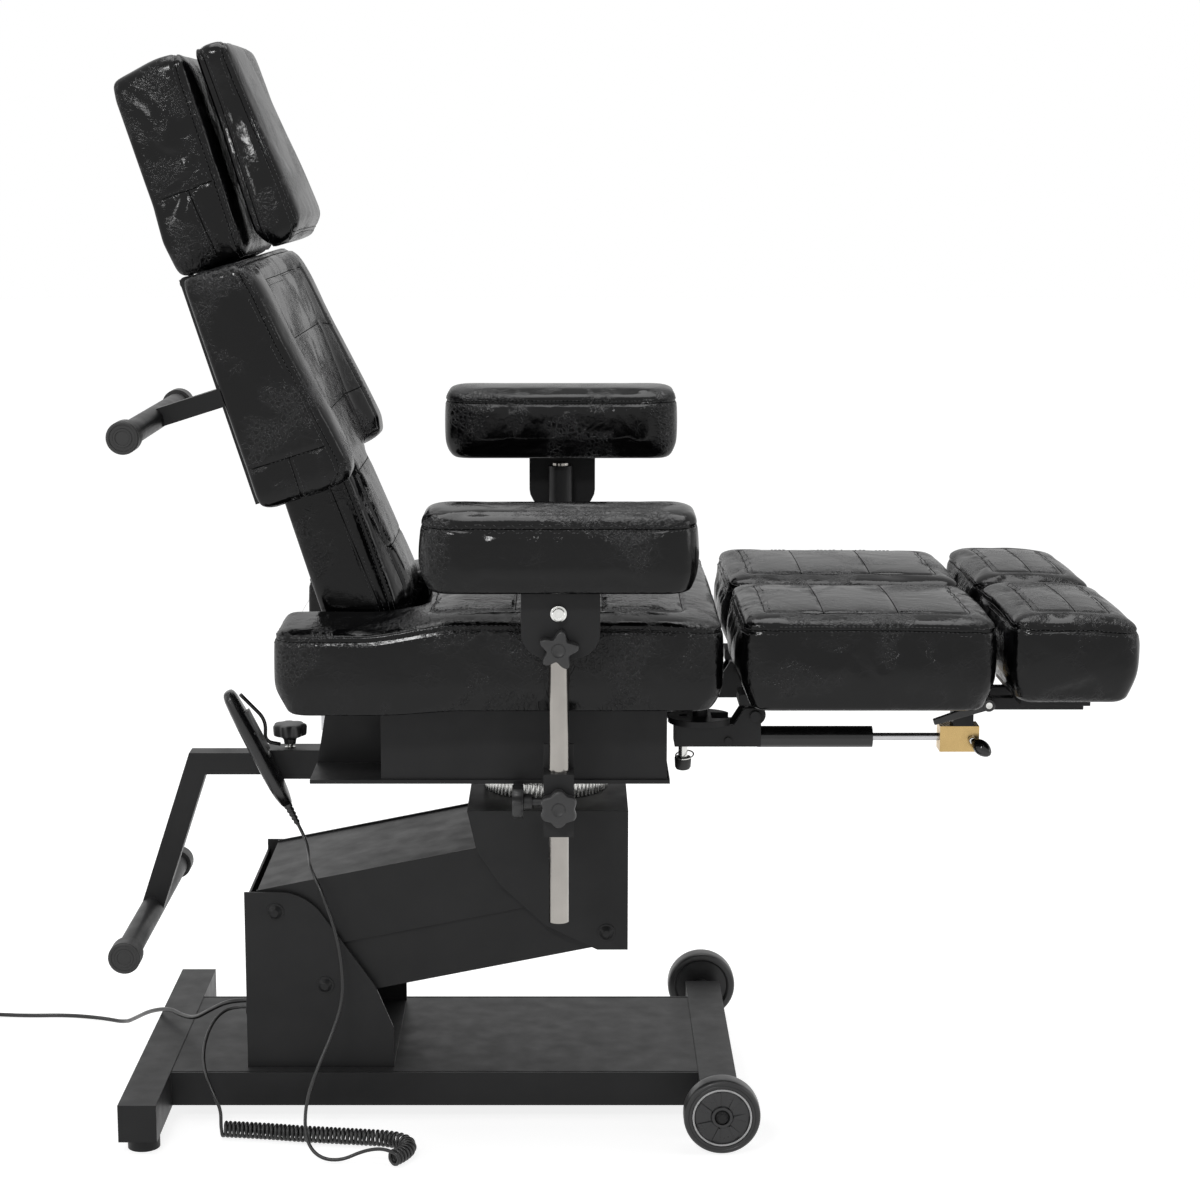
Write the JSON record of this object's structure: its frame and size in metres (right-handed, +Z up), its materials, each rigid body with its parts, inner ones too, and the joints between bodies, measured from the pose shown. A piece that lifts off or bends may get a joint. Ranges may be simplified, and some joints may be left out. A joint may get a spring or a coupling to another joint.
{
  "type": "tattoo chair",
  "caption": "Electric-lift tattoo chair with reclining back, tilting headrest, swivel seat, split leg supports and adjustable armrests on a wheeled base.",
  "frame": {"origin": "on the floor under the middle of the chair, measured without the mains lead and the hand control cord", "axes": "+Z up, +X towards the foot end, +Y towards the sitter's left when facing the foot end"},
  "size_m": [1.8375, 0.75, 1.4122],
  "materials": {
    "black_steel": "satin black powder coat",
    "black_leatherette": "glossy crackled leatherette",
    "chrome_post": "bright chrome",
    "black_spring_tube": "gloss black",
    "bright_rod": "ground",
    "black_plastic": "moulded",
    "wheel_rubber": "matt",
    "cord_rubber": "satin",
    "rocker_plastic": "moulded",
    "dark_steel": "dark plated"
  },
  "bodies": {
    "base": {"base_frame": "black_steel", "deck_plate": "black_steel", "lift_column": "black_steel", "cord_glands": "cord_rubber", "mains_cord": "cord_rubber", "mains_coil": "cord_rubber", "mains_plug": "black_plastic", "handset_cord": "cord_rubber"},
    "lower_arm": {"lower_arm": "black_steel"},
    "upper_arm": {"upper_arm": "black_steel"},
    "carriage": {"carriage": "black_steel", "swivel_ring": "dark_steel"},
    "drive_tube": {"drive_motor_tube": "black_spring_tube"},
    "drive_rod": {"drive_rod": "bright_rod"},
    "seat": {"seat_box": "black_steel", "seat_cushion": "black_leatherette", "handset_holder": "dark_steel", "handset": "black_plastic", "back_spring_tube": "black_spring_tube"},
    "handset_rocker": {"handset_rocker": "rocker_plastic"},
    "step_bar": {"step_bar": "black_steel"},
    "step_knob": {"step_knob": "black_plastic"},
    "back": {"back_frame": "black_steel", "back_cushion": "black_leatherette"},
    "back_spring_rod": {"back_spring_rod": "bright_rod"},
    "head": {"head_frame": "black_steel", "head_pad": "black_leatherette", "head_pillow": "black_leatherette"},
    "wheel_near": {"wheel_near": "wheel_rubber"},
    "splay_near": {"splay_bracket_near": "black_steel"},
    "plunger_near": {"index_plunger_near": "black_plastic"},
    "leg_near": {"leg_frame_near": "black_steel", "leg_cushion_near": "black_leatherette"},
    "gas_cylinder_near": {"gas_cylinder_near": "black_spring_tube"},
    "release_near": {"release_lever_near": "black_plastic"},
    "clamp_near": {"clamp_lever_near": "black_plastic"},
    "foot_near": {"foot_rest_near": "black_leatherette"},
    "arm_slider_near": {"arm_slider_near": "black_steel"},
    "post_knob_near": {"post_knob_near": "black_plastic"},
    "bar_knob_near": {"bar_knob_near": "black_plastic"},
    "arm_post_near": {"arm_post_near": "chrome_post"},
    "arm_bracket_near": {"arm_bracket_near": "black_steel"},
    "bracket_knob_near": {"bracket_knob_near": "black_plastic"},
    "armrest_near": {"armrest_near": "black_leatherette"},
    "wheel_far": {"wheel_far": "wheel_rubber"},
    "splay_far": {"splay_bracket_far": "black_steel"},
    "plunger_far": {"index_plunger_far": "black_plastic"},
    "leg_far": {"leg_frame_far": "black_steel", "leg_cushion_far": "black_leatherette"},
    "gas_cylinder_far": {"gas_cylinder_far": "black_spring_tube"},
    "release_far": {"release_lever_far": "black_plastic"},
    "clamp_far": {"clamp_lever_far": "black_plastic"},
    "foot_far": {"foot_rest_far": "black_leatherette"},
    "arm_slider_far": {"arm_slider_far": "black_steel"},
    "post_knob_far": {"post_knob_far": "black_plastic"},
    "bar_knob_far": {"bar_knob_far": "black_plastic"},
    "arm_post_far": {"arm_post_far": "chrome_post"},
    "arm_bracket_far": {"arm_bracket_far": "black_steel"},
    "bracket_knob_far": {"bracket_knob_far": "black_plastic"},
    "armrest_far": {"armrest_far": "black_leatherette"}
  },
  "joints": [
    {"name": "lift", "type": "hinge", "parent": "base", "child": "lower_arm", "pos_m": [-0.374, 0, 0.1815], "axis": [0, -1, 0], "range_deg": [-6, 33], "deforming": ["handset_cord"]},
    {"name": "upper_arm_pivot", "type": "hinge", "parent": "base", "child": "upper_arm", "pos_m": [-0.439, 0, 0.283], "axis": [0, -1, 0], "range_deg": [-6, 33]},
    {"name": "carriage_level", "type": "hinge", "parent": "lower_arm", "child": "carriage", "pos_m": [0.00246, 0, 0.25672], "axis": [0, -1, 0], "range_deg": [-33, 6]},
    {"name": "drive_swing", "type": "hinge", "parent": "base", "child": "drive_tube", "pos_m": [-0.374, 0, 0.1815], "axis": [0, -1, 0], "range_deg": [-5.73, 31.51]},
    {"name": "drive_reach", "type": "slide", "parent": "drive_tube", "child": "drive_rod", "axis": [0.8697, 0, 0.4935], "range_m": [-0.01218, 0.06698]},
    {"name": "seat_swivel", "type": "hinge", "parent": "carriage", "child": "seat", "pos_m": [-0.079, 0, 0.424], "axis": [0, 0, 1], "continuous": true},
    {"name": "handset_rock", "type": "hinge", "parent": "seat", "child": "handset_rocker", "pos_m": [-0.47045, -0.046, 0.50999], "axis": [0, 1, 0], "range_deg": [-2, 2], "stiffness_Nm_per_rad": 0.05},
    {"name": "step_slide", "type": "slide", "parent": "seat", "child": "step_bar", "axis": [-1, 0, 0], "range_m": [0, 0.11]},
    {"name": "step_knob_turn", "type": "hinge", "parent": "seat", "child": "step_knob", "pos_m": [-0.43, 0, 0.477], "axis": [0, 0, 1], "continuous": true},
    {"name": "back_recline", "type": "hinge", "parent": "seat", "child": "back", "pos_m": [-0.345, 0, 0.555], "axis": [0, -1, 0], "range_deg": [0, 60]},
    {"name": "back_spring_stroke", "type": "slide", "parent": "seat", "child": "back_spring_rod", "axis": [1, 0, 0], "range_m": [0, 0.0515]},
    {"name": "head_tilt", "type": "hinge", "parent": "back", "child": "head", "pos_m": [-0.54211, 0, 1.11354], "axis": [0, -1, 0], "range_deg": [0, 55]},
    {"name": "wheel_spin_near", "type": "hinge", "parent": "base", "child": "wheel_near", "pos_m": [0.151, -0.26, 0.05], "axis": [0, 1, 0], "continuous": true},
    {"name": "leg_splay_near", "type": "hinge", "parent": "seat", "child": "splay_near", "pos_m": [0.124, -0.15, 0.5475], "axis": [0, 0, -1], "range_deg": [0, 8]},
    {"name": "plunger_pull_near", "type": "slide", "parent": "splay_near", "child": "plunger_near", "axis": [0, 0, -1], "range_m": [0, 0.008], "stiffness_N_per_m": 1200, "springref_m": -0.004},
    {"name": "leg_pitch_near", "type": "hinge", "parent": "splay_near", "child": "leg_near", "pos_m": [0.1944, -0.15, 0.56], "axis": [0, 1, 0], "range_deg": [0, 80]},
    {"name": "gas_stroke_near", "type": "slide", "parent": "leg_near", "child": "gas_cylinder_near", "axis": [1, 0, 0], "range_m": [0, 0.066]},
    {"name": "release_turn_near", "type": "hinge", "parent": "leg_near", "child": "release_near", "pos_m": [0.477, -0.15, 0.527], "axis": [0, 1, 0], "range_deg": [0, 18], "stiffness_Nm_per_rad": 0.4},
    {"name": "clamp_turn_near", "type": "hinge", "parent": "leg_near", "child": "clamp_near", "pos_m": [0.492, -0.15, 0.581], "axis": [0, -1, 0], "range_deg": [0, 45]},
    {"name": "foot_slide_near", "type": "slide", "parent": "leg_near", "child": "foot_near", "axis": [1, 0, 0], "range_m": [0, 0.08]},
    {"name": "arm_slide_near", "type": "slide", "parent": "seat", "child": "arm_slider_near", "axis": [0, -1, 0], "range_m": [0, 0.08]},
    {"name": "post_knob_turn_near", "type": "hinge", "parent": "arm_slider_near", "child": "post_knob_near", "pos_m": [-0.06, -0.312, 0.48], "axis": [0, 1, 0], "continuous": true},
    {"name": "bar_knob_turn_near", "type": "hinge", "parent": "seat", "child": "bar_knob_near", "pos_m": [-0.06, -0.229, 0.4602], "axis": [1, 0, 0], "continuous": true},
    {"name": "post_slide_near", "type": "slide", "parent": "arm_slider_near", "child": "arm_post_near", "axis": [0, 0, 1], "range_m": [0, 0.12]},
    {"name": "arm_turn_near", "type": "hinge", "parent": "arm_post_near", "child": "arm_bracket_near", "pos_m": [-0.06, -0.312, 0.664], "axis": [0, 0, -1], "range_deg": [0, 45]},
    {"name": "bracket_knob_turn_near", "type": "hinge", "parent": "arm_bracket_near", "child": "bracket_knob_near", "pos_m": [-0.06, -0.312, 0.681], "axis": [0, 1, 0], "continuous": true},
    {"name": "armrest_tilt_near", "type": "hinge", "parent": "arm_bracket_near", "child": "armrest_near", "pos_m": [-0.06, -0.312, 0.724], "axis": [0, 1, 0], "range_deg": [-15, 15]},
    {"name": "wheel_spin_far", "type": "hinge", "parent": "base", "child": "wheel_far", "pos_m": [0.151, 0.26, 0.05], "axis": [0, 1, 0], "continuous": true},
    {"name": "leg_splay_far", "type": "hinge", "parent": "seat", "child": "splay_far", "pos_m": [0.124, 0.15, 0.5475], "axis": [0, 0, 1], "range_deg": [0, 8]},
    {"name": "plunger_pull_far", "type": "slide", "parent": "splay_far", "child": "plunger_far", "axis": [0, 0, -1], "range_m": [0, 0.008], "stiffness_N_per_m": 1200, "springref_m": -0.004},
    {"name": "leg_pitch_far", "type": "hinge", "parent": "splay_far", "child": "leg_far", "pos_m": [0.1944, 0.15, 0.56], "axis": [0, 1, 0], "range_deg": [0, 80]},
    {"name": "gas_stroke_far", "type": "slide", "parent": "leg_far", "child": "gas_cylinder_far", "axis": [1, 0, 0], "range_m": [0, 0.066]},
    {"name": "release_turn_far", "type": "hinge", "parent": "leg_far", "child": "release_far", "pos_m": [0.477, 0.15, 0.527], "axis": [0, 1, 0], "range_deg": [0, 18], "stiffness_Nm_per_rad": 0.4},
    {"name": "clamp_turn_far", "type": "hinge", "parent": "leg_far", "child": "clamp_far", "pos_m": [0.492, 0.15, 0.581], "axis": [0, -1, 0], "range_deg": [0, 45]},
    {"name": "foot_slide_far", "type": "slide", "parent": "leg_far", "child": "foot_far", "axis": [1, 0, 0], "range_m": [0, 0.08]},
    {"name": "arm_slide_far", "type": "slide", "parent": "seat", "child": "arm_slider_far", "axis": [0, 1, 0], "range_m": [0, 0.08]},
    {"name": "post_knob_turn_far", "type": "hinge", "parent": "arm_slider_far", "child": "post_knob_far", "pos_m": [-0.06, 0.312, 0.48], "axis": [0, 1, 0], "continuous": true},
    {"name": "bar_knob_turn_far", "type": "hinge", "parent": "seat", "child": "bar_knob_far", "pos_m": [-0.06, 0.229, 0.4602], "axis": [1, 0, 0], "continuous": true},
    {"name": "post_slide_far", "type": "slide", "parent": "arm_slider_far", "child": "arm_post_far", "axis": [0, 0, 1], "range_m": [-0.05, 0.03]},
    {"name": "arm_turn_far", "type": "hinge", "parent": "arm_post_far", "child": "arm_bracket_far", "pos_m": [-0.06, 0.312, 0.756], "axis": [0, 0, 1], "range_deg": [0, 45]},
    {"name": "bracket_knob_turn_far", "type": "hinge", "parent": "arm_bracket_far", "child": "bracket_knob_far", "pos_m": [-0.06, 0.312, 0.773], "axis": [0, 1, 0], "continuous": true},
    {"name": "armrest_tilt_far", "type": "hinge", "parent": "arm_bracket_far", "child": "armrest_far", "pos_m": [-0.06, 0.312, 0.816], "axis": [0, 1, 0], "range_deg": [-15, 15]}
  ],
  "couplings": [
    {"joint": "upper_arm_pivot", "follows": "lift", "ratio": 1},
    {"joint": "carriage_level", "follows": "lift", "ratio": -1},
    {"joint": "drive_swing", "follows": "lift", "ratio": 0.955},
    {"joint": "drive_reach", "follows": "lift", "m_per_rad": 0.1163},
    {"joint": "back_spring_stroke", "follows": "back_recline", "m_per_rad": 0.048701},
    {"joint": "gas_stroke_near", "follows": "leg_pitch_near", "m_per_rad": 0.046983},
    {"joint": "gas_stroke_far", "follows": "leg_pitch_far", "m_per_rad": 0.046983}
  ]
}
